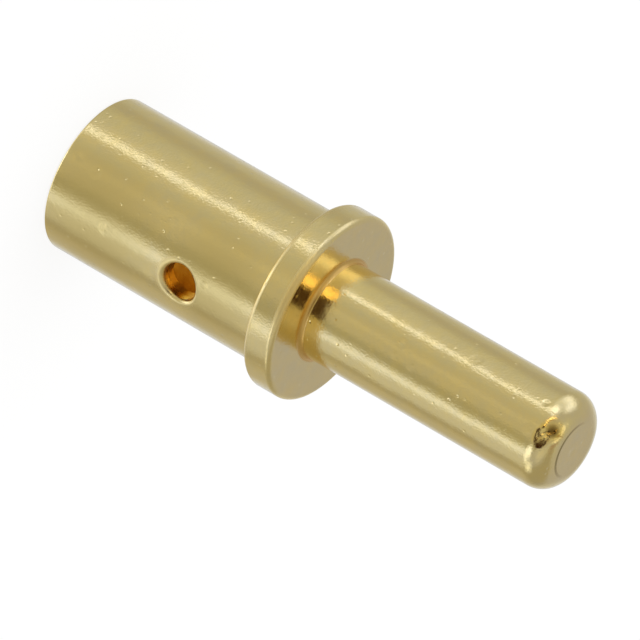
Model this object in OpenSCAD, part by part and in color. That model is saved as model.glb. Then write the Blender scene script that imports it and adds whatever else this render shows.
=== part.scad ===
// Turned circuit-board pin: a wire barrel with an inspection hole, a seating flange and a round pin.
// It is one solid, turned from one bar. The axis is Z and the pin points up.
// z = 0 is the plane of the barrel's open end, on which the piece stands.
// Lengths are in millimetres and angles in degrees.

/* [Barrel] */
// Outside diameter of the barrel
barrel_d = 3.18; // [3.0:0.02:3.6]
// Length of the barrel, from its open end to the flange
barrel_l = 5.04; // [4.8:0.02:7.0]
// Radius that rounds the outer edge of the open end
barrel_edge = 0.05; // [0.02:0.01:0.08]

/* [Wire bore] */
// Diameter of the blind bore that takes the wire
bore_d = 2.4; // [1.8:0.05:2.5]
// Depth of the bore's straight wall, from the open end
bore_depth = 4.02; // [3.0:0.02:4.2]
// Included angle of the drill point at the bottom of the bore
drill_angle = 118; // [110:1:140]
// Width of the lead-in chamfer at the mouth of the bore
mouth_chamfer = 0.12; // [0.05:0.01:0.15]

/* [Inspection hole] */
// Diameter of the hole drilled through one side of the barrel
hole_d = 0.75; // [0.5:0.01:1.2]
// Distance of the hole's centre from the bottom of the straight bore
hole_setback = 0.8; // [0.65:0.05:1.6]
// Width of the broken edge round the hole
hole_edge = 0.11; // [0.04:0.01:0.15]

/* [Flange] */
// How far the flange stands out from the barrel
flange_rim = 0.33; // [0.3:0.01:0.8]
// Thickness of the flange
flange_t = 0.64; // [0.4:0.02:1.2]
// Radius that rounds both edges of the flange
flange_edge = 0.11; // [0.02:0.01:0.14]
// Radius left in the corners on both sides of the flange
corner_fillet = 0.1; // [0.05:0.01:0.12]

/* [Pin] */
// Diameter of the pin
pin_d = 2.0; // [1.6:0.05:2.4]
// Length of the pin, from the flange to the tip
pin_l = 5.68; // [3.0:0.02:12.0]
// Radius that rounds the tip into its small flat end
tip_round = 0.47; // [0.1:0.01:0.7]

/* [Hidden] */
barrel_r = barrel_d / 2;
bore_r = bore_d / 2;
hole_r = hole_d / 2;
pin_r = pin_d / 2;
flange_r = barrel_r + flange_rim;
flange_top = barrel_l + flange_t;
tip_z = flange_top + pin_l;
drill_point = bore_r / tan(drill_angle / 2);
hole_z = bore_depth - hole_setback;
overlap = 0.2;
$fn = 96;

// Half section of a disc from z_low to z_high, with its two outer edges rounded
module disc_section(radius, z_low, z_high, round_low, round_high) {
    inner = radius - max(round_low, round_high);
    translate([0, z_low]) square([inner, z_high - z_low]);
    translate([0, z_low + round_low]) square([radius, z_high - z_low - round_low - round_high]);
    translate([radius - round_low, z_low + round_low]) circle(r = round_low);
    translate([radius - round_high, z_high - round_high]) circle(r = round_high);
}

// Half section of the fillet in the corner between a shaft and the face above or below it
module corner_section(shaft_r, face_z, side) {
    translate([shaft_r - overlap, min(face_z, face_z + side * corner_fillet)])
        square([overlap, corner_fillet]);
    difference() {
        translate([shaft_r, min(face_z, face_z + side * corner_fillet)]) square(corner_fillet);
        translate([shaft_r + corner_fillet, face_z + side * corner_fillet]) circle(r = corner_fillet);
    }
}

// Half section of the barrel, which runs into the flange
module barrel_section() {
    translate([0, barrel_edge]) square([barrel_r, barrel_l - barrel_edge + flange_t / 2]);
    square([barrel_r - barrel_edge, barrel_l]);
    translate([barrel_r - barrel_edge, barrel_edge]) circle(r = barrel_edge);
}

// Half section of the pin, which rises out of the flange
module pin_section() {
    translate([0, barrel_l + flange_t / 2]) square([pin_r, pin_l + flange_t / 2 - tip_round]);
    translate([0, flange_top]) square([pin_r - tip_round, pin_l]);
    translate([pin_r - tip_round, tip_z - tip_round]) circle(r = tip_round);
}

// Half section of the blind bore, with its lead-in chamfer and the cone that the drill leaves
module bore_section() {
    polygon([
        [0, -overlap],
        [bore_r + mouth_chamfer + overlap, -overlap],
        [bore_r, mouth_chamfer],
        [bore_r, bore_depth],
        [0, bore_depth + drill_point],
    ]);
}

// The inspection hole, drilled towards the viewer at the front, with its broken outer edge
module inspection_hole() {
    translate([0, 0, hole_z]) rotate([90, 0, 0]) {
        cylinder(r = hole_r, h = barrel_r + overlap);
        translate([0, 0, barrel_r - hole_edge])
            cylinder(r1 = hole_r, r2 = hole_r + hole_edge + overlap, h = hole_edge + overlap);
    }
}

module pcb_pin() {
    color([0.80, 0.69, 0.42])
    difference() {
        rotate_extrude() difference() {
            union() {
                barrel_section();
                corner_section(barrel_r, barrel_l, -1);
                disc_section(flange_r, barrel_l, flange_top, flange_edge, flange_edge);
                corner_section(pin_r, flange_top, 1);
                pin_section();
            }
            bore_section();
        }
        inspection_hole();
    }
}

pcb_pin();
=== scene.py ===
# Turned, gold-plated board pin: a wire barrel with an inspection hole, a flange and a solid round pin.
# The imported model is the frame. This file gives it its finely turned surface, its gold and a pale studio.
import math
import bmesh
import bpy
import numpy as np
from mathutils import Matrix, Vector


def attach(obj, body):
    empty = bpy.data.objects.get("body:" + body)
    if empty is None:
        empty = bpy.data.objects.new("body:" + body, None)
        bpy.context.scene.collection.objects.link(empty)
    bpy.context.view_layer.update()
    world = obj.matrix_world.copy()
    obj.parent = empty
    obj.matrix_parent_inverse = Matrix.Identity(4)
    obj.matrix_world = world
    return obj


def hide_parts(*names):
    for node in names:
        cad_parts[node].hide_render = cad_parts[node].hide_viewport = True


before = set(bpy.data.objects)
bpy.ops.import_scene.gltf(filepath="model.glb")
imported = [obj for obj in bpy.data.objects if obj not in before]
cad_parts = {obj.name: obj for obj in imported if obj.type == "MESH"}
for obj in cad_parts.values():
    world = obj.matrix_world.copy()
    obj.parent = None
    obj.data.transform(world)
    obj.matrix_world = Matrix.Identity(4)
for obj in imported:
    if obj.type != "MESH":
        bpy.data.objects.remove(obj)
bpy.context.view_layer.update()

mm = 0.001
scene = bpy.context.scene


# The view was fitted to the outline in the picture: a long lens, tilted so that the pin points down to the right
viewFrom = {
    "turn": 229.4,  # where the camera stands, in degrees round the pin's axis from +X
    "rise": 25.2178,  # above the flange, in degrees
    "roll": 30.117,  # how far the axis leans below the picture's horizontal
    "aim": (0.0, 0.0, 5.68 * mm),  # middle of the flange's seating face
    "aimPixel": (332.97, 310.14),  # where that point shows in a picture 640 wide
    "focalPixels": 11240.0,
    "distance": 209.56 * mm,
    "sensor": 36.0,
    "pictureSize": 640,
}


def makeCamera(v):
    turn, rise, roll = (math.radians(v[k]) for k in ("turn", "rise", "roll"))
    toCamera = Vector((math.cos(turn), math.sin(turn), 0))
    sideways = Vector((-math.sin(turn), math.cos(turn), 0))
    up = Vector((0, 0, 1))
    along = math.cos(rise) * up - math.sin(rise) * toCamera  # the pin's axis as the picture plane shows it
    away = -math.cos(rise) * toCamera - math.sin(rise) * up
    right = math.cos(roll) * along - math.sin(roll) * sideways
    down = math.sin(roll) * along + math.cos(roll) * sideways
    half = v["pictureSize"] / 2
    offX, offY = ((v["aimPixel"][i] - half) / v["focalPixels"] * v["distance"] for i in (0, 1))
    place = Vector(v["aim"]) - offX * right - offY * down - v["distance"] * away
    cam = bpy.data.cameras.new("pictureCamera")
    cam.sensor_width = v["sensor"]
    cam.lens = v["focalPixels"] / v["pictureSize"] * v["sensor"]
    cam.clip_start, cam.clip_end = 0.01, 10.0
    camObject = bpy.data.objects.new("pictureCamera", cam)
    scene.collection.objects.link(camObject)
    frameOfView = Matrix((right, -down, -away)).transposed().to_4x4()
    frameOfView.translation = place
    camObject.matrix_world = frameOfView
    scene.camera = camObject


makeCamera(viewFrom)
print("camera set")


# Short ways to add a node: settings are the node's own, inputs are values or sockets by name or number
def addNode(tree, kind, settings=None, inputs=None):
    node = tree.nodes.new(kind)
    for key, value in (settings or {}).items():
        setattr(node, key, value)
    for key, value in (inputs or {}).items():
        if isinstance(value, bpy.types.NodeSocket):
            tree.links.new(value, node.inputs[key])
        else:
            node.inputs[key].default_value = value
    return node


def calc(tree, operation, *values, clamp=False):
    kind = "ShaderNodeMath"
    node = addNode(tree, kind, {"operation": operation, "use_clamp": clamp}, dict(enumerate(values)))
    return node.outputs[0]


def whole(tree, operation, *values):
    return addNode(tree, "FunctionNodeIntegerMath", {"operation": operation}, dict(enumerate(values))).outputs[0]


def meshObject(name, points, faces=(), edges=(), normals=None):
    mesh = bpy.data.meshes.new(name)
    mesh.from_pydata([tuple(map(float, p)) for p in points], edges, faces)
    if normals is not None:
        layer = mesh.attributes.new("trueNormal", "FLOAT_VECTOR", "POINT")
        layer.data.foreach_set("vector", np.asarray(normals, dtype=np.float32).ravel())
    obj = bpy.data.objects.new(name, mesh)
    scene.collection.objects.link(obj)
    return obj


# Half outline of the turned piece, from the tip down the outside and up into the bore.
# Each corner is radius, height and the radius that rounds it, in millimetres.
turned = {
    "segments": 288,
    "corners": [
        (0.0, 11.36, 0),
        (1.0, 11.36, 0.47),  # rounded tip
        (1.0, 5.68, 0.10),  # fillet at the pin's root
        (1.92, 5.68, 0.11),  # flange, pin side
        (1.92, 5.04, 0.11),  # flange, barrel side
        (1.59, 5.04, 0.10),  # fillet under the flange
        (1.59, 0.0, 0.05),  # open end
        (1.32, 0.0, 0.012),
        (1.20, 0.12, 0.012),  # lead-in of the bore
        (1.20, 4.02, 0.03),
        (0.0, 4.741, 0),  # drill point
    ],
    "arcStep": 4.0,  # degrees
}
# The inspection hole opens towards -Y. A window is left in both walls and a finer patch closes it.
port = {
    "height": 3.2,
    "radius": 0.375,
    "roll": 0.112,  # width of the rounded edge
    "innerRoll": 0.02,
    "outerWall": 1.59,
    "boreWall": 1.2,
    "halfCells": 22,  # window, in segments of the turned piece
    "halfHeight": 0.72,
    "rowCells": 24,
    "rollRings": 12,
    "spreadRings": 10,
    "wallRings": 8,
}


def outline(corners, arcStep, rows):
    pts = [np.array(c[:2]) for c in corners]
    line, normals = [], []

    def add(p, n):
        if not line or np.hypot(*(p - line[-1])) > 1e-6:
            line.append(np.array(p, float))
            normals.append(np.array(n, float))

    def leftOf(d):  # the outside lies to the left of the way down the outline
        return np.array([-d[1], d[0]])

    ends = []
    for i, c in enumerate(corners):
        if i in (0, len(corners) - 1) or c[2] == 0:
            ends.append((pts[i], pts[i], None))
            continue
        d0 = (pts[i] - pts[i - 1]) / np.hypot(*(pts[i] - pts[i - 1]))
        d1 = (pts[i + 1] - pts[i]) / np.hypot(*(pts[i + 1] - pts[i]))
        turn = math.atan2(d0[0] * d1[1] - d0[1] * d1[0], float(d0 @ d1))
        cut = c[2] * math.tan(abs(turn) / 2)
        ends.append((pts[i] - cut * d0, pts[i] + cut * d1, (d0, turn, c[2])))
    for i, (start, stop, arc) in enumerate(ends):
        if i:
            before = ends[i - 1][1]
            d = (start - before) / np.hypot(*(start - before))
            add(before, leftOf(d))
            wall = abs(d[0]) < 1e-9 and before[1] > 0.1 or abs(d[0]) < 1e-9 and start[1] > 0.1
            if wall:  # rows that the window's sides meet
                between = [z for z in rows if min(before[1], start[1]) < z < max(before[1], start[1])]
                for z in sorted(between, reverse=d[1] < 0):
                    add((start[0], z), leftOf(d))
            add(start, leftOf(d))
        if arc:
            d0, turn, radius = arc
            side = math.copysign(1, turn)
            centre = start + side * radius * leftOf(d0)
            steps = max(3, round(math.degrees(abs(turn)) / arcStep))
            for k in range(steps + 1):
                a = turn * k / steps
                spin = np.array([[math.cos(a), -math.sin(a)], [math.sin(a), math.cos(a)]])
                n = spin @ leftOf(d0)
                add(centre - side * radius * n, n)
    return np.array(line), np.array(normals)


def portRows(p):
    return [p["height"] + p["halfHeight"] * (2 * i / p["rowCells"] - 1) for i in range(p["rowCells"] + 1)]


def portPatch(p, segments):
    step = 2 * math.pi / segments
    m, rows = p["halfCells"], portRows(p)
    across = [i * step for i in range(-m, m + 1)]
    rim = [(a, rows[0]) for a in across[:-1]] + [(across[-1], z) for z in rows[:-1]]
    rim += [(a, rows[-1]) for a in across[:0:-1]] + [(across[0], z) for z in rows[:0:-1]]
    turnOf = np.array([a for a, z in rim])
    lift = np.array([z - p["height"] for a, z in rim])
    alpha = np.arctan2(lift, p["outerWall"] * np.sin(turnOf))
    ca, sa = np.cos(alpha), np.sin(alpha)

    def sheet(wall, roll, sign):  # rings from the window's edge to the wall of the hole
        rings = []
        outside = p["radius"] + roll
        for j in range(p["spreadRings"]):
            t = 1 - (j / p["spreadRings"])
            x = (1 - t) * outside * ca + t * wall * np.sin(turnOf)
            z = (1 - t) * outside * sa + t * lift
            y = np.sqrt(wall ** 2 - x ** 2)
            rings.append((x, y, z, sign * x / wall, sign * y / wall, 0 * x))
        for j in range(p["rollRings"] + 1):
            phi = math.pi / 2 * j / p["rollRings"]
            rho = outside - roll * math.sin(phi)
            x, z = rho * ca, rho * sa
            flat = np.sqrt(wall ** 2 - x ** 2)
            y = flat - sign * roll * (1 - math.cos(phi))
            nx = sign * x / flat * math.cos(phi) - math.sin(phi) * ca
            ny = sign * math.cos(phi) + 0 * x
            nz = -math.sin(phi) * sa
            size = np.sqrt(nx ** 2 + ny ** 2 + nz ** 2)
            rings.append((x, y, z, nx / size, ny / size, nz / size))
        return rings

    outer = sheet(p["outerWall"], p["roll"], 1)
    inner = sheet(p["boreWall"], p["innerRoll"], -1)
    between = []
    for j in range(1, p["wallRings"]):
        t = j / p["wallRings"]
        y = (1 - t) * outer[-1][1] + t * inner[-1][1]
        between.append((p["radius"] * ca, y, p["radius"] * sa, -ca, 0 * ca, -sa))
    rings = outer + between + inner[::-1]
    count = len(turnOf)
    # x runs across, y is the depth towards the viewer and z the height: the row's -Y is y here
    points = [(r[0][i] * mm, -r[1][i] * mm, (r[2][i] + p["height"]) * mm) for r in rings for i in range(count)]
    normals = [(r[3][i], -r[4][i], r[5][i]) for r in rings for i in range(count)]
    faces = [
        (a * count + i, a * count + (i + 1) % count, (a + 1) * count + (i + 1) % count, (a + 1) * count + i)
        for a in range(len(rings) - 1)
        for i in range(count)
    ]
    return meshObject("portPatch", points, faces, normals=normals)


# The tree turns the outline round Z, leaves the window open, joins the patch and closes the seams
def turningTree():
    tree = bpy.data.node_groups.new("turnOutline", "GeometryNodeTree")
    names = [
        ("Outline", "NodeSocketGeometry"),
        ("Segments", "NodeSocketInt"),
        ("Port patch", "NodeSocketObject"),
        ("Port height", "NodeSocketFloat"),
        ("Port half height", "NodeSocketFloat"),
        ("Port half angle", "NodeSocketFloat"),
        ("Bore limit", "NodeSocketFloat"),
        ("Bore top", "NodeSocketFloat"),
        ("Outside", "NodeSocketMaterial"),
        ("Inside", "NodeSocketMaterial"),
    ]
    for name, kind in names:
        tree.interface.new_socket(name, in_out="INPUT", socket_type=kind)
    tree.interface.new_socket("Turned", in_out="OUTPUT", socket_type="NodeSocketGeometry")
    given = addNode(tree, "NodeGroupInput").outputs
    count = addNode(tree, "GeometryNodeAttributeDomainSize", {"component": "MESH"}, {0: given["Outline"]}).outputs["Point Count"]
    columns = whole(tree, "ADD", given["Segments"], 1)
    grid = addNode(tree, "GeometryNodeMeshGrid", None, {"Vertices X": columns, "Vertices Y": count}).outputs["Mesh"]
    index = addNode(tree, "GeometryNodeInputIndex").outputs[0]
    row = whole(tree, "MODULO", index, count)
    column = whole(tree, "DIVIDE_FLOOR", index, count)
    angle = calc(tree, "MULTIPLY", column, calc(tree, "DIVIDE", 2 * math.pi, given["Segments"]))

    def taken(value):
        sample = addNode(tree, "GeometryNodeSampleIndex", {"data_type": "FLOAT_VECTOR", "domain": "POINT"},
                         {"Geometry": given["Outline"], "Value": value, "Index": row})
        spin = {"Vector": sample.outputs[0], "Angle": angle}
        return addNode(tree, "ShaderNodeVectorRotate", {"rotation_type": "Z_AXIS"}, spin).outputs[0]

    position = addNode(tree, "GeometryNodeInputPosition").outputs[0]
    lineNormal = addNode(tree, "GeometryNodeInputNamedAttribute", {"data_type": "FLOAT_VECTOR"}, {"Name": "trueNormal"})
    placed = addNode(tree, "GeometryNodeSetPosition", None, {"Geometry": grid, "Position": taken(position)})
    stored = addNode(tree, "GeometryNodeStoreNamedAttribute", {"data_type": "FLOAT_VECTOR", "domain": "POINT"},
                     {"Geometry": placed.outputs[0], "Name": "trueNormal", "Value": taken(lineNormal.outputs[0])})
    x, y, z = addNode(tree, "ShaderNodeSeparateXYZ", None, {0: position}).outputs
    aside = calc(tree, "ABSOLUTE", calc(tree, "ARCTAN2", x, calc(tree, "MULTIPLY", y, -1.0)))
    above = calc(tree, "ABSOLUTE", calc(tree, "SUBTRACT", z, given["Port height"]))
    inWindow = calc(tree, "MULTIPLY", calc(tree, "LESS_THAN", aside, given["Port half angle"]),
                    calc(tree, "LESS_THAN", above, given["Port half height"]))
    opened = addNode(tree, "GeometryNodeDeleteGeometry", {"domain": "FACE"}, {0: stored.outputs[0], "Selection": inWindow})
    patch = addNode(tree, "GeometryNodeObjectInfo", None, {"Object": given["Port patch"]}).outputs["Geometry"]
    joined = addNode(tree, "GeometryNodeJoinGeometry")
    tree.links.new(patch, joined.inputs[0])
    tree.links.new(opened.outputs[0], joined.inputs[0])
    closed = addNode(tree, "GeometryNodeMergeByDistance", None, {0: joined.outputs[0], "Distance": 2e-7})
    smooth = addNode(tree, "GeometryNodeSetShadeSmooth", None, {0: closed.outputs[0]})
    real = addNode(tree, "GeometryNodeRealizeInstances", None, {0: smooth.outputs[0]})
    outside = addNode(tree, "GeometryNodeSetMaterial", None, {0: real.outputs[0], "Material": given["Outside"]})
    radius = calc(tree, "SQRT", calc(tree, "ADD", calc(tree, "MULTIPLY", x, x), calc(tree, "MULTIPLY", y, y)))
    isBore = calc(tree, "MULTIPLY", calc(tree, "LESS_THAN", radius, given["Bore limit"]),
                  calc(tree, "LESS_THAN", z, given["Bore top"]))
    inside = addNode(tree, "GeometryNodeSetMaterial", None,
                     {0: outside.outputs[0], "Selection": isBore, "Material": given["Inside"]})
    addNode(tree, "NodeGroupOutput", None, {0: inside.outputs[0]})
    return tree


def turnPiece(t, p, outside, inside):
    line, normals = outline(t["corners"], t["arcStep"], portRows(p))
    points = [(r * mm, 0, z * mm) for r, z in line]
    edges = [(i, i + 1) for i in range(len(points) - 1)]
    lathe = meshObject("latheOutline", points, edges=edges, normals=[(n[0], 0, n[1]) for n in normals])
    patch = portPatch(p, t["segments"])
    tree = turningTree()
    wanted = {
        "Segments": t["segments"],
        "Port patch": patch,
        "Port height": p["height"] * mm,
        "Port half height": p["halfHeight"] * mm,
        "Port half angle": p["halfCells"] * 2 * math.pi / t["segments"],
        "Bore limit": 0.5 * (p["boreWall"] + p["outerWall"]) * mm,
        "Bore top": 4.8 * mm,
        "Outside": outside,
        "Inside": inside,
    }
    turning = lathe.modifiers.new("turning", "NODES")
    turning.node_group = tree
    for item in tree.interface.items_tree:
        if item.in_out == "INPUT" and item.name in wanted:
            turning[item.identifier] = wanted[item.name]
    depsgraph = bpy.context.evaluated_depsgraph_get()
    mesh = bpy.data.meshes.new_from_object(lathe.evaluated_get(depsgraph), preserve_all_data_layers=True, depsgraph=depsgraph)
    for helper in (lathe, patch):
        bpy.data.objects.remove(helper)
    mesh.name = "turnedPin"
    bm = bmesh.new()
    bm.from_mesh(mesh)
    bmesh.ops.recalc_face_normals(bm, faces=bm.faces)
    if bm.calc_volume(signed=True) < 0:
        bmesh.ops.reverse_faces(bm, faces=bm.faces)
    loose = sum(1 for e in bm.edges if not e.is_manifold)
    print("turned piece:", len(bm.verts), "points,", len(bm.faces), "faces,", loose, "open edges,",
          round(bm.calc_volume() * 1e9, 3), "cubic mm")
    bm.to_mesh(mesh)
    bm.free()
    layer = mesh.attributes["trueNormal"]
    exact = np.empty(len(mesh.vertices) * 3, dtype=np.float32)
    layer.data.foreach_get("vector", exact)
    exact = exact.reshape(-1, 3)
    exact /= np.maximum(np.linalg.norm(exact, axis=1, keepdims=True), 1e-6)
    mesh.attributes.remove(layer)
    mesh.normals_split_custom_set_from_vertices(exact.tolist())  # a mirror shows any facet
    piece = bpy.data.objects.new("turnedPin", mesh)
    scene.collection.objects.link(piece)
    return piece


# Plated surface: slow waves left by the cutting tool and tumbling, a fine grain, small pits and rub marks.
# Heights come out in metres, so a Bump node takes them with a distance of 1.
def platedSurface():
    group = bpy.data.node_groups.new("platedSurface", "ShaderNodeTree")
    for name, kind, value in (
        ("Place", "NodeSocketVector", None),
        ("Wave height", "NodeSocketFloat", 1.0),
        ("Ripple height", "NodeSocketFloat", 1.0),
        ("Grain height", "NodeSocketFloat", 1.0),
        ("Pit depth", "NodeSocketFloat", 1.0),
        ("Pit cover", "NodeSocketFloat", 0.5),
    ):
        socket = group.interface.new_socket(name, in_out="INPUT", socket_type=kind)
        if value is not None:
            socket.default_value = value
    for name in ("Height", "Tone", "Dullness"):
        group.interface.new_socket(name, in_out="OUTPUT", socket_type="NodeSocketFloat")
    given = addNode(group, "NodeGroupInput").outputs
    place = given["Place"]

    def noise(scale, detail, rough=0.5, squash=None):
        vector = place
        if squash:
            vector = addNode(group, "ShaderNodeVectorMath", {"operation": "MULTIPLY"}, {0: place, 1: squash}).outputs[0]
        inputs = {"Vector": vector, "Scale": scale, "Detail": detail, "Roughness": rough}
        return addNode(group, "ShaderNodeTexNoise", None, inputs).outputs[0]

    wave = calc(group, "MULTIPLY", noise(1900.0, 1.0, squash=(1.0, 1.0, 0.7)), given["Wave height"])
    ripple = calc(group, "MULTIPLY", noise(7000.0, 2.0), given["Ripple height"])
    grain = calc(group, "MULTIPLY", noise(24000.0, 2.0, 0.6), given["Grain height"])
    cells = addNode(group, "ShaderNodeTexVoronoi", {"feature": "F1"},
                    {"Vector": place, "Scale": 5200.0, "Randomness": 1.0})
    patches = noise(1500.0, 2.0)
    cover = addNode(group, "ShaderNodeMapRange", {"interpolation_type": "SMOOTHSTEP"},
                    {"Value": patches, "From Min": calc(group, "SUBTRACT", 1.0, given["Pit cover"]), "From Max": 0.62}).outputs[0]
    spot = addNode(group, "ShaderNodeMapRange", {"interpolation_type": "SMOOTHSTEP"},
                   {"Value": cells.outputs["Distance"], "From Min": 0.04, "From Max": 0.2, "To Min": 1.0, "To Max": 0.0}).outputs[0]
    pit = calc(group, "MULTIPLY", calc(group, "MULTIPLY", spot, cover), given["Pit depth"])
    smallWaves = calc(group, "ADD", ripple, grain)
    height = calc(group, "SUBTRACT", calc(group, "ADD", wave, smallWaves), pit)
    tone = addNode(group, "ShaderNodeMapRange", None, {"Value": noise(2500.0, 5.0, 0.75), "From Min": 0.3, "From Max": 0.7}).outputs[0]
    dullness = calc(group, "ADD", calc(group, "MULTIPLY", noise(7000.0, 4.0, 0.65), 0.8), calc(group, "MULTIPLY", tone, 0.2))
    addNode(group, "NodeGroupOutput", None, {"Height": height, "Tone": tone, "Dullness": dullness})
    return group


# Marks from handling: knocks, which are crumpled dents in the surface, and rings round edges and corners, which dull
# them and, at the pin's root and the tip's face edge, carry painted shade
def knockGroup():
    group = bpy.data.node_groups.new("knock", "ShaderNodeTree")
    for name, kind in (("Place", "NodeSocketVector"), ("Centre", "NodeSocketVector"), ("Reach", "NodeSocketFloat"),
                       ("Depth", "NodeSocketFloat"), ("Crumple", "NodeSocketFloat")):
        group.interface.new_socket(name, in_out="INPUT", socket_type=kind)
    group.interface.new_socket("Height", in_out="OUTPUT", socket_type="NodeSocketFloat")
    group.interface.new_socket("Mask", in_out="OUTPUT", socket_type="NodeSocketFloat")
    given = addNode(group, "NodeGroupInput").outputs
    away = addNode(group, "ShaderNodeVectorMath", {"operation": "DISTANCE"}, {0: given["Place"], 1: given["Centre"]}).outputs["Value"]
    part = calc(group, "DIVIDE", away, given["Reach"])
    bowl = calc(group, "SUBTRACT", 1.0, calc(group, "MULTIPLY", part, part), clamp=True)
    mask = calc(group, "MULTIPLY", bowl, bowl)
    folds = addNode(group, "ShaderNodeTexNoise", None, {"Vector": given["Place"], "Scale": 7500.0, "Detail": 1.0}).outputs[0]
    depth = calc(group, "ADD", given["Depth"], calc(group, "MULTIPLY", folds, given["Crumple"]))
    addNode(group, "NodeGroupOutput", None, {"Height": calc(group, "MULTIPLY", calc(group, "MULTIPLY", mask, depth), -1.0), "Mask": bowl})
    return group


def ringGroup():
    group = bpy.data.node_groups.new("nearRing", "ShaderNodeTree")
    for name, kind in (("Place", "NodeSocketVector"), ("Radius", "NodeSocketFloat"), ("Height", "NodeSocketFloat"),
                       ("Reach", "NodeSocketFloat")):
        group.interface.new_socket(name, in_out="INPUT", socket_type=kind)
    group.interface.new_socket("Mask", in_out="OUTPUT", socket_type="NodeSocketFloat")
    given = addNode(group, "NodeGroupInput").outputs
    x, y, z = addNode(group, "ShaderNodeSeparateXYZ", None, {0: given["Place"]}).outputs
    radius = calc(group, "SQRT", calc(group, "ADD", calc(group, "MULTIPLY", x, x), calc(group, "MULTIPLY", y, y)))
    across, up = calc(group, "SUBTRACT", radius, given["Radius"]), calc(group, "SUBTRACT", z, given["Height"])
    away = calc(group, "SQRT", calc(group, "ADD", calc(group, "MULTIPLY", across, across), calc(group, "MULTIPLY", up, up)))
    near = calc(group, "MULTIPLY", given["Reach"], 0.5)
    mask = addNode(group, "ShaderNodeMapRange", {"interpolation_type": "SMOOTHSTEP"},
                   {"Value": away, "From Min": near, "From Max": given["Reach"], "To Min": 1.0, "To Max": 0.0}).outputs[0]
    addNode(group, "NodeGroupOutput", None, {"Mask": mask})
    return group


# Handling marks as bumps and dullness, and colours laid over the gold, most of which are painted shade, glow and
# reflection
marksAndPaintedLight = {
    "knocks": [
        # place on the piece and reach in millimetres, depth of the bowl and of the crumples in it
        ((-0.655, -0.600, 11.19), 0.27, 0.015, 0.030),
        ((-0.520, -0.800, 11.08), 0.20, 0.006, 0.028),
        ((-0.704, -0.677, 11.035), 0.10, -0.012, -0.008),
        ((-0.600, -0.745, 11.08), 0.17, 0.0, 0.034),
        ((-0.610, -0.560, 11.262), 0.10, -0.009, -0.008),
    ],
    # orange tint inside the knocks: painted glow of light bouncing in the dents
    "knockPaintedGlow": (0.98, 0.67, 0.15),
    "scuffs": [
        ((-0.727, -0.687, 7.70), 0.14, 0.0, 0.020),
        ((-0.539, -0.842, 7.68), 0.09, 0.0, 0.014),
        ((-0.509, -0.861, 8.10), 0.13, 0.0, 0.014),
        ((-0.954, -0.299, 9.12), 0.16, 0.0, 0.012),
        ((-0.582, -0.813, 10.80), 0.16, 0.0, 0.022),
        ((-0.937, -0.349, 10.78), 0.10, 0.006, 0.012),
        ((-1.014, -1.225, 2.74), 0.20, 0.0, 0.016),
        ((-1.035, -1.207, 0.76), 0.16, 0.0, 0.016),
        ((-1.116, -1.132, 0.32), 0.12, 0.0, 0.014),
        ((-0.238, -1.572, 1.40), 0.18, 0.0, 0.012),
        ((-0.292, -1.563, 3.76), 0.10, -0.006, 0.004),
        ((0.009, -0.080, 11.36), 0.12, 0.0, 0.016),
        ((-0.835, -0.550, 5.93), 0.17, 0.0, 0.007),
        ((-0.975, -0.650, 5.68), 0.14, 0.0, 0.006),
    ],
    "dullAndShadedPartRings": [
        # ring, where it is strongest, dullness and tone
        # dark line round the edge of the tip's end face, strongest on one side: painted shade
        ((0.565, 11.357, 0.038), ((-0.226, -0.518, 11.357), 0.80), 0.3, (0.42, 0.31, 0.09)),
        # dull patch on the flange's pin-side edge, in nearly the gold's own colour
        ((1.888, 5.648, 0.13), ((-1.200, -1.460, 5.68), 0.95), 0.62, (0.97, 0.74, 0.27)),
    ],
    "rubsAndPaintedShade": [
        # place, reach in millimetres, dullness and tone; these tones are painted shade and painted reflection
        # two long patches along the wide lamp's streak on the barrel: duller, and a darker tone that dims the streak,
        # painted shade
        ((-0.238, -1.572, 1.1), 1.5, 0.23, (0.86, 0.66, 0.24)),
        ((-0.350, -1.551, 3.9), 1.2, 0.22, (0.86, 0.66, 0.24)),
        # dull patch where the camera's dark reflection falls on the tip, a little more orange: painted reflection
        ((-0.560, -0.775, 11.07), 0.20, 0.30, (0.97, 0.72, 0.22)),
        # dark brown spot in the tip's dent: painted reflection of the dark camera
        ((-0.650, -0.615, 11.19), 0.15, 0.20, (0.22, 0.12, 0.02)),
    ],
    "edges": [
        # radius, height, reach in millimetres and dullness
        (1.888, 5.648, 0.11, 0.27),
        (1.888, 5.072, 0.11, 0.36),
    ],
    "portEdge": (0.43, 1.53, 0.14, 0.38),
    # ring round the pin's root fillet: duller, and tinted orange-brown, a painted shade in the corner where pin meets
    # flange
    "roots": [
        (1.029, 5.709, 0.085, 0.36),
    ],
    "rootPaintedShade": (0.80, 0.49, 0.12),
}


plating = {
    "outside": {
        "gold": (0.99, 0.755, 0.275),
        "worn": (0.90, 0.72, 0.32),
        "dull": (0.08, 0.18),
        "wave": 9e-6, "ripple": 2.2e-6, "grain": 3.4e-6, "pits": 6.5e-6, "cover": 0.58,
    },
    # the bore's gold is a deeper, more orange copy of the outside's: painted shade for the light that bounces inside
    # the bore
    "inside": {
        "gold": (0.95, 0.645, 0.155),
        "worn": (0.92, 0.59, 0.125),
        "dull": (0.28, 0.42),
        "wave": 30e-6, "ripple": 9e-6, "grain": 4e-6, "pits": 4e-6, "cover": 0.5,
    },
}


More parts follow.
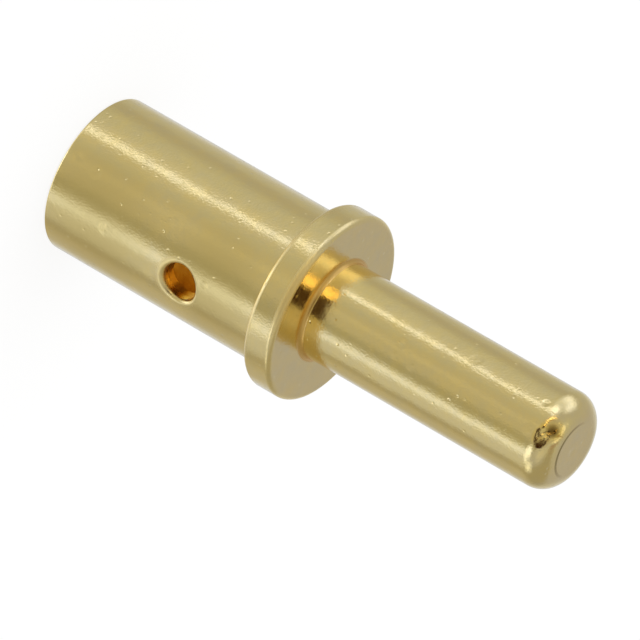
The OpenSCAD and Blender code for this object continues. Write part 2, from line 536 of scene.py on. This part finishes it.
def goldMaterial(name, g, group, knock=None, ring=None):
    mat = bpy.data.materials.new(name)
    mat.use_nodes = True
    tree = mat.node_tree
    shader = tree.nodes["Principled BSDF"]
    place = addNode(tree, "ShaderNodeTexCoord").outputs["Object"]
    surface = addNode(tree, "ShaderNodeGroup", {"node_tree": group}, {
        "Place": place, "Wave height": g["wave"], "Ripple height": g["ripple"], "Grain height": g["grain"],
        "Pit depth": g["pits"], "Pit cover": g["cover"],
    }).outputs
    colour = addNode(tree, "ShaderNodeMix", {"data_type": "RGBA"}, {"Factor": surface["Tone"]})
    colour.inputs[6].default_value = (*g["gold"], 1)
    colour.inputs[7].default_value = (*g["worn"], 1)
    gold = colour.outputs[2]
    dullness = addNode(tree, "ShaderNodeMapRange", None, {
        "Value": surface["Dullness"], "From Min": 0.3, "From Max": 0.7, "To Min": g["dull"][0], "To Max": g["dull"][1],
    }).outputs[0]
    height = surface["Height"]

    # lays a colour over the gold where the mask is: the knocks' painted glow, the root's and tip's painted shade, the
    # rubs' painted shade and reflection
    def tinted(before, mask, tone):
        node = addNode(tree, "ShaderNodeMix", {"data_type": "RGBA"}, {"Factor": mask, 6: before})
        node.inputs[7].default_value = (*tone, 1)
        return node.outputs[2]

    def duller(before, mask, dull):
        return addNode(tree, "ShaderNodeMix", {"data_type": "FLOAT"}, {0: mask, 2: before, 3: dull}).outputs[0]

    def nearRing(where, radius, level, reach):
        return addNode(tree, "ShaderNodeGroup", {"node_tree": ring}, {
            "Place": where, "Radius": radius * mm, "Height": level * mm, "Reach": reach * mm}).outputs[0]

    def nearPoint(centre, reach, depth=0.0, crumple=0.0):
        return addNode(tree, "ShaderNodeGroup", {"node_tree": knock}, {
            "Place": place, "Centre": [c * mm for c in centre], "Reach": reach * mm, "Depth": depth * mm, "Crumple": crumple * mm,
        }).outputs

    if knock:
        for dent in marksAndPaintedLight["knocks"]:
            bowl = nearPoint(*dent)
            height = calc(tree, "ADD", height, bowl["Height"])
            # each dent is tinted orange, a painted glow of light bouncing inside it
            gold = tinted(gold, bowl["Mask"], marksAndPaintedLight["knockPaintedGlow"])
        for scuff in marksAndPaintedLight["scuffs"]:
            height = calc(tree, "ADD", height, nearPoint(*scuff)["Height"])
        x, y, z = addNode(tree, "ShaderNodeSeparateXYZ", None, {0: place}).outputs
        level = calc(tree, "SUBTRACT", z, port["height"] * mm)
        fromPort = addNode(tree, "ShaderNodeCombineXYZ", None, {0: x, 1: level, 2: calc(tree, "MULTIPLY", y, -1.0)}).outputs[0]
        *rim, dull = marksAndPaintedLight["portEdge"]
        dullness = duller(dullness, nearRing(fromPort, *rim), dull)
        for *rim, dull in marksAndPaintedLight["edges"]:
            dullness = duller(dullness, nearRing(place, *rim), dull)
        # the root fillet gets more dullness and a painted orange shade
        for *rim, dull in marksAndPaintedLight["roots"]:
            mask = nearRing(place, *rim)
            dullness = duller(dullness, mask, dull)
            gold = tinted(gold, mask, marksAndPaintedLight["rootPaintedShade"])
        # part rings: dullness, and at the tip's face edge a painted dark line of shade
        for rim, spot, dull, tone in marksAndPaintedLight["dullAndShadedPartRings"]:
            mask = calc(tree, "MULTIPLY", nearRing(place, *rim), nearPoint(*spot)["Mask"])
            dullness = duller(dullness, mask, dull)
            gold = tinted(gold, mask, tone)
        # rubs: dullness, and tones that are painted shade and painted reflection
        for centre, reach, dull, tone in marksAndPaintedLight["rubsAndPaintedShade"]:
            rubAndShade = nearPoint(centre, reach)["Mask"]
            dullness = duller(dullness, rubAndShade, dull)
            gold = tinted(gold, rubAndShade, tone)
    tree.links.new(gold, shader.inputs["Base Color"])
    tree.links.new(dullness, shader.inputs["Roughness"])
    bump = addNode(tree, "ShaderNodeBump", None, {"Strength": 1.0, "Distance": 1.0, "Height": height})
    tree.links.new(bump.outputs[0], shader.inputs["Normal"])
    shader.inputs["Metallic"].default_value = 1.0
    return mat


surfaceGroup = platedSurface()
goldPlate = goldMaterial("goldPlate", plating["outside"], surfaceGroup, knockGroup(), ringGroup())
# the bore gets the deeper orange gold, a painted shade
boreGoldPaintedShade = goldMaterial("boreGoldPaintedShade", plating["inside"], surfaceGroup)
turnedPin = turnPiece(turned, port, goldPlate, boreGoldPaintedShade)
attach(turnedPin, "root")
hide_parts("pcb_pin")
print("gold piece placed")


# The studio as the metal sees it: pale walls, a window, lamps and the dark camera. Directions are in
# degrees round the pin's axis from the camera, towards the picture's lower left, and above the horizon.
studio = {
    "wall": (0.5, 0.52, 0.543),
    "diffuse": 0.85,
    "fleckScale": 17.0,
    "cards": [
        # round, above, half width, half height, softness, colour, and whether it is broken into flecks
        (180, 30, 200, 30, 10, (0.45, 0.468, 0.555)),  # upper walls, a little darker
        (118, 20, 32, 70, 14, (0.36, 0.354, 0.33)),  # dark side of the room
        (130, -38, 20, 30, 12, (0.49, 0.485, 0.47)),
        (180, 27, 34, 14, 10, (0.44, 0.452, 0.565)),  # grey wall behind the piece
        (-110, -28, 12, 30, 8, (0.44, 0.447, 0.472)),
        (4, -30, 26, 40, 8, (0.50, 0.495, 0.465)),
        (-1, -28, 4, 30, 4, (0.575, 0.565, 0.515)),
        (-37, -30, 5, 40, 5, (0.57, 0.57, 0.56)),
        (-60, -32, 7, 34, 5, (0.57, 0.58, 0.60)),
        (36, -20, 9, 42, 7, (0.385, 0.385, 0.342)),  # gap beside the wide lamp
        (180, -20, 30, 26, 16, (0.68, 0.72, 0.82)),  # bright table edge
        (60, 42, 16, 14, 12, (0.58, 0.593, 0.637)),
        (86, 2, 12, 9, 6, (0.98, 1.04, 1.24)),  # lamp that the hole's edge catches
        (-90, 12, 17, 24, 10, (1.06, 1.165, 1.652)),  # window
        (-68, 2, 18, 22, 12, (0.7, 0.749, 0.944)),
        (-48.5, -40, 3.2, 50, 3, (1.28, 1.40, 1.95)),  # tall narrow lamp
        (-53, 2, 8, 13, 5, (1.3, 1.456, 2.124)),  # its brighter head
        (61, -46, 8, 46, 6, (0.86, 0.957, 1.357)),  # wide lamp, low down
        (50, -4, 12, 9, 3, (1.25, 1.36, 1.8)),
        (63, -13, 18, 5, 2, (1.2, 1.31, 1.73)),
        (83, -50, 14, 36, 8, (0.575, 0.605, 0.715)),
        (0, -90, 200, 22, 9, (0.95, 1.0, 1.2)),  # lit paper under the piece
        (14, -72, 24, 18, 8, (1.9, 2.15, 3.1)),
        (74, -68, 15, 14, 6, (1.6, 1.75, 2.4)),
        (125, -58, 32, 11, 7, (0.80, 0.85, 1.05)),
        (120, 86, 70, 12, 8, (0.36, 0.281, 0.236)),
        (-70, 78, 50, 7, 6, (0.92, 0.936, 1.003)),  # ceiling lamp
        (-25, 25, 16, 13, 3, (0.46, 0.36, 0.22)),  # beside the camera
        (-26, 24, 13, 12, 3, (2.3, 2.0, 1.5), "broken"),
        (9, 26, 26, 12, 2, (0.035, 0.012, 0.0)),  # camera
    ],
}


def cardGroup():
    group = bpy.data.node_groups.new("studioCard", "ShaderNodeTree")
    for name in ("Round", "Above", "Card round", "Card above", "Half width", "Half height", "Softness"):
        group.interface.new_socket(name, in_out="INPUT", socket_type="NodeSocketFloat")
    group.interface.new_socket("Mask", in_out="OUTPUT", socket_type="NodeSocketFloat")
    given = addNode(group, "NodeGroupInput").outputs
    off = calc(group, "ABSOLUTE", calc(group, "WRAP", calc(group, "SUBTRACT", given["Round"], given["Card round"]), 180.0, -180.0))
    high = calc(group, "ABSOLUTE", calc(group, "SUBTRACT", given["Above"], given["Card above"]))

    def within(value, half):
        near = calc(group, "SUBTRACT", half, given["Softness"])
        far = calc(group, "ADD", half, given["Softness"])
        return addNode(group, "ShaderNodeMapRange", {"interpolation_type": "SMOOTHSTEP"},
                       {"Value": value, "From Min": near, "From Max": far, "To Min": 1.0, "To Max": 0.0}).outputs[0]

    mask = calc(group, "MULTIPLY", within(off, given["Half width"]), within(high, given["Half height"]))
    addNode(group, "NodeGroupOutput", None, {"Mask": mask})
    return group


def studioWorld(s, turn):
    world = bpy.data.worlds.new("studio")
    scene.world = world
    world.use_nodes = True
    tree = world.node_tree
    tree.nodes.clear()
    direction = addNode(tree, "ShaderNodeTexCoord").outputs["Generated"]
    spin = addNode(tree, "ShaderNodeVectorRotate", {"rotation_type": "Z_AXIS"}, {"Vector": direction, "Angle": -math.radians(turn)})
    x, y, z = addNode(tree, "ShaderNodeSeparateXYZ", None, {0: spin.outputs[0]}).outputs
    around = calc(tree, "DEGREES", calc(tree, "ARCTAN2", y, x))
    above = calc(tree, "DEGREES", calc(tree, "ARCSINE", z))
    group = cardGroup()
    seen = addNode(tree, "ShaderNodeRGB").outputs[0]
    seen.default_value = (*s["wall"], 1)
    flecks = addNode(tree, "ShaderNodeTexNoise", None, {"Vector": spin.outputs[0], "Scale": s["fleckScale"], "Detail": 1.0}).outputs[0]
    flecks = addNode(tree, "ShaderNodeMapRange", {"interpolation_type": "SMOOTHSTEP"}, {"Value": flecks, "From Min": 0.46, "From Max": 0.56}).outputs[0]
    for turnTo, rise, halfWidth, halfHeight, softness, colour, *broken in s["cards"]:
        mask = addNode(tree, "ShaderNodeGroup", {"node_tree": group}, {
            "Round": around, "Above": above, "Card round": turnTo, "Card above": rise,
            "Half width": halfWidth, "Half height": halfHeight, "Softness": softness,
        }).outputs[0]
        if broken:
            mask = calc(tree, "MULTIPLY", mask, flecks)
        mixed = addNode(tree, "ShaderNodeMix", {"data_type": "RGBA"}, {"Factor": mask})
        tree.links.new(seen, mixed.inputs[6])
        mixed.inputs[7].default_value = (*colour, 1)
        seen = mixed.outputs[2]
    light = addNode(tree, "ShaderNodeLightPath").outputs
    inMetal = calc(tree, "MAXIMUM", light["Is Glossy Ray"], light["Is Transmission Ray"])
    lit = addNode(tree, "ShaderNodeBackground", None, {"Color": (1, 1, 1, 1), "Strength": s["diffuse"]})
    mirrored = addNode(tree, "ShaderNodeBackground", None, {"Color": seen, "Strength": 1.0})
    white = addNode(tree, "ShaderNodeBackground", None, {"Color": (1, 1, 1, 1), "Strength": 1.0})
    first = addNode(tree, "ShaderNodeMixShader", None, {0: inMetal, 1: lit.outputs[0], 2: mirrored.outputs[0]})
    second = addNode(tree, "ShaderNodeMixShader", None, {0: light["Is Camera Ray"], 1: first.outputs[0], 2: white.outputs[0]})
    addNode(tree, "ShaderNodeOutputWorld", None, {0: second.outputs[0]})


def studioFloor(size=0.4, level=-0.00002):  # a hair below the open end, which would show through it
    corners = [(-size, -size, level), (size, -size, level), (size, size, level), (-size, size, level)]
    floor = meshObject("studioFloor", corners, [(0, 1, 2, 3)])
    mat = bpy.data.materials.new("whitePaper")
    mat.use_nodes = True
    tree = mat.node_tree
    tree.nodes.clear()
    light = addNode(tree, "ShaderNodeLightPath").outputs
    paper = addNode(tree, "ShaderNodeBsdfDiffuse", None, {"Color": (0.95, 0.95, 0.95, 1)})
    white = addNode(tree, "ShaderNodeEmission", None, {"Color": (1, 1, 1, 1), "Strength": 1.04})
    part = calc(tree, "MULTIPLY", light["Is Camera Ray"], 0.8)  # the rest keeps the shadow
    mixed = addNode(tree, "ShaderNodeMixShader", None, {0: part, 1: paper.outputs[0], 2: white.outputs[0]})
    addNode(tree, "ShaderNodeOutputMaterial", None, {0: mixed.outputs[0]})
    floor.data.materials.append(mat)
    floor.visible_glossy = False  # the world below gives the metal the same pale surroundings


def softLamp(name, place, size, power):
    lamp = bpy.data.lights.new(name, "AREA")
    lamp.shape, lamp.size, lamp.energy = "DISK", size, power
    obj = bpy.data.objects.new(name, lamp)
    obj.location = place
    obj.rotation_euler = (-Vector(place)).to_track_quat("-Z", "Y").to_euler()
    obj.visible_glossy = False
    scene.collection.objects.link(obj)


studioWorld(studio, viewFrom["turn"])
studioFloor()
softLamp("overhead", (-0.10, 0.05, 0.30), 0.25, 0.15)
scene.view_settings.view_transform = "Standard"
print("studio set")
